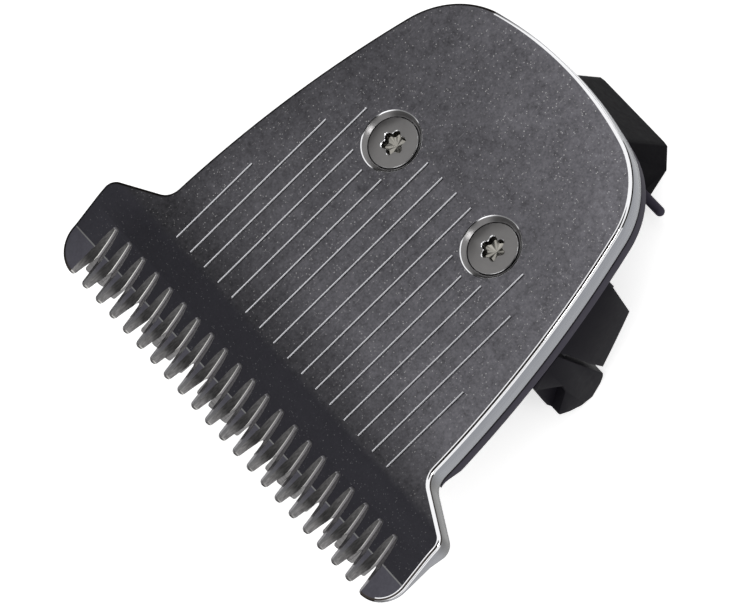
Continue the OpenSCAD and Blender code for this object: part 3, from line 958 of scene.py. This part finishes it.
class HEAD_OT_base(bpy.types.Operator):
    """Black plastic base: frame under the plate, plug housing and the two snap arms"""
    bl_idname = "trimmer_head.base"
    bl_label = "Plastic base"

    def execute(self, context):
        r = context.scene.head_sizes.plastic_round
        for node_name, name, body in (
                ("base_frame", "frame_plastic", "head"), ("plug_housing", "housing_plastic", "head"),
                ("snap_arm_left", "arm_left_plastic", "left_arm"),
                ("snap_arm_right", "arm_right_plastic", "right_arm")):
            obj = cad_copy(node_name, name, "moulded_black", r)
            if node_name == "base_frame":
                edit(obj)
                bpy.ops.mesh.select_all(action="SELECT")
                bpy.ops.mesh.bisect(plane_co=(0, 0, PAINTED_SHADOW_LOW_Z), plane_no=(0, 0, 1))
                done()
            add_finishes(obj, "shaded_black", "lit_black")
            # Lit and shaded copies of the black plastic: painted light on the frame below its painted
            # shadow line and on the pegs, painted shade on the rear block.
            moulded, shaded_block, lit_frame_or_peg = 0, 1, 2
            for f in obj.data.polygons:
                if node_name == "base_frame":
                    # The frame's top band stays dark as painted shadow under the plate's edge.
                    f.material_index = lit_frame_or_peg if f.center.z < PAINTED_SHADOW_LOW_Z else moulded
                elif f.center.y > BLOCK_FRONT_Y:
                    f.material_index = shaded_block if abs(f.center.x) < BLOCK_HALF_W else lit_frame_or_peg
            finish_piece(obj, body, "black_plastic", node_name)
        return {"FINISHED"}


class HEAD_OT_cutter(bpy.types.Operator):
    """Sliding cutter with its plastic carrier, rivets and guide rail"""
    bl_idname = "trimmer_head.cutter"
    bl_label = "Cutter"

    def execute(self, context):
        blade_round, carrier_round = 0.03, 0.12
        obj = cad_copy("cutter_blade", "cutter_steel", "cutter_face", blade_round, 1)
        add_finishes(obj, "cutter_edge")
        largest_edge_face = 0.06
        for f in obj.data.polygons:
            slanted = 0.2 < abs(f.normal.z) < 0.9
            f.material_index = 1 if f.area < largest_edge_face and slanted else 0
        finish_piece(obj, "cutter", "ground_steel", "cutter_blade")
        obj = cad_copy("cutter_carrier", "carrier_moulding", "moulded_white", carrier_round)
        finish_piece(obj, "cutter", "carrier_plastic", "cutter_carrier")
        for name, finish in (("carrier_rivets", "spring_wire"), ("guide_rail", "ground_under"),
                             ("spring_left", "spring_wire"), ("spring_right", "spring_wire"),
                             ("screw_inserts", "turned_brass")):
            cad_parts[name].data.materials.clear()
            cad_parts[name].data.materials.append(mat(finish))
        return {"FINISHED"}


# ---------------------------------------------------------------- screws
HEAD_R, HEAD_TOP, HEAD_BEVEL = 1.72, -0.28, 0.07
SHANK_R, SHANK_LENGTH = 1.0, 3.6
BIT_R, BIT_DEPTH, BIT_POINT = 0.86, 0.5, 0.2


def recess_tool(x, turn):
    """Six-lobe bit with a sunk point and a flared mouth, to cut a screw's recess with."""
    low = HEAD_TOP - BIT_DEPTH
    lobes = []
    for angle in range(0, 360, 3):
        r = BIT_R * (0.87 + 0.13 * math.cos(math.radians(6 * angle)))
        a = math.radians(angle + turn)
        lobes.append((r * math.cos(a), r * math.sin(a)))
    return turned("recess_tool", [
        (low - BIT_POINT, 0.05, "recess_floor"), (low, 0.85, "recess_floor"),
        (HEAD_TOP - 0.05, 0.97, "recess_shade"), (HEAD_TOP + 0.03, 1.08, "screw_edge")],
        x, SCREW_Y, lobes)


class HEAD_OT_screws(bpy.types.Operator):
    """Two flat-headed screws with six-lobe recesses"""
    bl_idname = "trimmer_head.screws"
    bl_label = "Screws"

    def execute(self, context):
        for side, turn, name in ((-1, -5, "screw_left"), (1, 20, "screw_right")):
            x = side * SCREW_X
            head = drum("head", HEAD_R, SEAT_Z, HEAD_TOP, x, SCREW_Y, "screw_head")
            edit(head, "EDGE")
            pick(head, "EDGE", at_height(HEAD_TOP))
            bpy.ops.mesh.bevel(offset=HEAD_BEVEL, segments=3, affect="EDGES")
            done()
            add_finishes(head, "screw_edge")
            for f in head.data.polygons:
                f.material_index = 1 if 0.05 < f.normal.z < 0.95 else 0
            carve(head, recess_tool(x, turn))
            shank = drum("shank", SHANK_R, SEAT_Z - SHANK_LENGTH, SEAT_Z + 0.01, x, SCREW_Y,
                         "screw_head", ROUND_SIDES // 2)
            carve(head, shank, "UNION")
            head.name = head.data.name = name
            smooth(head, SMOOTH_STEEL)
            finish_piece(head, "head", "bright_steel", "plate_screws")
        return {"FINISHED"}


# ---------------------------------------------------------------- stage
# The camera's axes and place, in metres, and its focal length.
VIEW_RIGHT = Vector((0.59170, 0.71307, -0.37606))
VIEW_BACK = Vector((0.49014, 0.05214, 0.87008))
EYE = (0.247938, 0.022247, 0.44675)
FOCAL_LENGTH = 394.5
# Each lamp: name, place, size and power.
LAMPS = (("key", (0.81, 0.31, 0.49), 0.25, 1.6), ("fill", (0.25, -0.35, 0.8), 0.6, 0.6))


class HEAD_OT_stage(bpy.types.Operator):
    """Pale floor, soft light and the camera"""
    bl_idname = "trimmer_head.stage"
    bl_label = "Stage"

    def execute(self, context):
        self.floor()
        self.world(context.scene)
        self.lamps(context.scene)
        self.camera(context.scene)
        context.scene.view_settings.view_transform = "Standard"
        return {"FINISHED"}

    def floor(self):
        """A white floor that keeps the shadow; polished steel sees dark cloths lying on it."""
        below_head = -0.00002
        bpy.ops.mesh.primitive_plane_add(size=4, location=(0, 0, below_head))
        floor = named("floor")
        m, t, b = material("floor_white", 0.9)
        b.inputs["Base Color"].default_value = (0.85, 0.85, 0.85, 1)
        b.inputs["Specular IOR Level"].default_value = 0.0
        path = node(t, "ShaderNodeLightPath").outputs
        pale = t.nodes.new("ShaderNodeAddShader")
        t.links.new(b.outputs[0], pale.inputs[0])
        t.links.new(node(t, "ShaderNodeEmission", in_Strength=0.6).outputs[0], pale.inputs[1])
        # The cloths lie to the left, behind the right rear corner and in front.
        seen = t.nodes.new("ShaderNodeEmission")
        left = along(t, "x", -22, -32)
        corner = math_node(t, "MULTIPLY", along(t, "y", 30, 34), along(t, "x", -3, 3))
        front = along(t, "y", -13, -17)
        cloths = math_node(t, "MAXIMUM", math_node(t, "MAXIMUM", left, corner), front)
        white, cloth = 0.9, 0.05
        t.links.new(mix(t, cloths, white, cloth), seen.inputs["Color"])
        shader = b.outputs[0]
        for ray, other in (("Is Glossy Ray", seen.outputs[0]), ("Is Camera Ray", pale.outputs[0])):
            mixer = t.nodes.new("ShaderNodeMixShader")
            t.links.new(path[ray], mixer.inputs[0])
            t.links.new(shader, mixer.inputs[1])
            t.links.new(other, mixer.inputs[2])
            shader = mixer.outputs[0]
        t.links.new(shader, t.nodes["Material Output"].inputs["Surface"])
        floor.data.materials.append(m)

    def world(self, scene):
        """A white studio; steel sees a dark patch high at one side, a dark left and a dark front."""
        world = bpy.data.worlds.new("studio")
        world.use_nodes = True
        scene.world = world
        w = world.node_tree
        toward = node(w, "ShaderNodeTexCoord").outputs["Generated"]
        facing = node(w, "ShaderNodeVectorMath", operation="DOT_PRODUCT")
        facing.inputs[1].default_value = VIEW_BACK
        w.links.new(toward, facing.inputs[0])
        split = w.nodes.new("ShaderNodeSeparateXYZ")
        w.links.new(toward, split.inputs[0])
        patch = ramp(w, facing.outputs["Value"], (0.87, 0.0), (0.9, 1.0))
        left = ramp(w, math_node(w, "MULTIPLY", split.outputs[0], -1.0), (0.58, 0.0), (0.68, 1.0))
        front = ramp(w, math_node(w, "MULTIPLY", split.outputs[1], -1.0), (0.7, 0.0), (0.85, 0.8))
        dark = mix(w, 1.0, mix(w, 1.0, patch, left, "LIGHTEN"), front, "LIGHTEN")
        white, ambient, darkest = 1.0, 0.8, 0.03
        path = node(w, "ShaderNodeLightPath").outputs
        light = mix(w, path["Is Glossy Ray"], ambient, mix(w, dark, white, darkest))
        light = mix(w, path["Is Camera Ray"], light, white)
        w.links.new(light, w.nodes["Background"].inputs["Color"])

    def lamps(self, scene):
        """Two soft lamps, turned towards the head."""
        for name, place, size, power in LAMPS:
            lamp = bpy.data.lights.new(name, "AREA")
            lamp.size = size
            lamp.energy = power
            obj = bpy.data.objects.new(name, lamp)
            obj.location = place
            obj.rotation_euler = Vector(place).to_track_quat("Z", "Y").to_euler()
            scene.collection.objects.link(obj)

    def camera(self, scene):
        """The camera, far off to the right and above, with a long lens."""
        cam = bpy.data.cameras.new("camera")
        cam.lens = FOCAL_LENGTH
        cam.clip_end = 10
        eye = bpy.data.objects.new("camera", cam)
        axes = (VIEW_RIGHT, VIEW_BACK.cross(VIEW_RIGHT), VIEW_BACK)
        eye.matrix_world = Matrix.Translation(EYE) @ Matrix(axes).transposed().to_4x4()
        scene.collection.objects.link(eye)
        scene.camera = eye


class HEAD_PT_panel(bpy.types.Panel):
    """Lists the sizes, the colours and the steps that build the head"""
    bl_idname = "HEAD_PT_panel"
    bl_label = "Trimmer head"
    bl_space_type = "VIEW_3D"
    bl_region_type = "UI"
    bl_category = "Trimmer head"

    def draw(self, context):
        for settings in (context.scene.head_sizes, context.scene.head_colours):
            for prop in settings.bl_rna.properties:
                if prop.identifier not in ("rna_type", "name"):
                    self.layout.prop(settings, prop.identifier)
        for step in STEPS:
            self.layout.operator(step.bl_idname)


STEPS = (HEAD_OT_finishes, HEAD_OT_guard_plate, HEAD_OT_base, HEAD_OT_cutter, HEAD_OT_screws,
         HEAD_OT_stage)
CLASSES = (HeadSizes, HeadColours, *STEPS, HEAD_PT_panel)


def register():
    for cls in CLASSES:
        bpy.utils.register_class(cls)
    bpy.types.Scene.head_sizes = bpy.props.PointerProperty(type=HeadSizes)
    bpy.types.Scene.head_colours = bpy.props.PointerProperty(type=HeadColours)


def unregister():
    del bpy.types.Scene.head_sizes
    del bpy.types.Scene.head_colours
    for cls in reversed(CLASSES):
        bpy.utils.unregister_class(cls)


def main():
    register()
    for step in STEPS:
        group_name, action = step.bl_idname.split(".")
        getattr(getattr(bpy.ops, group_name), action)()


if __name__ == "__main__":
    main()
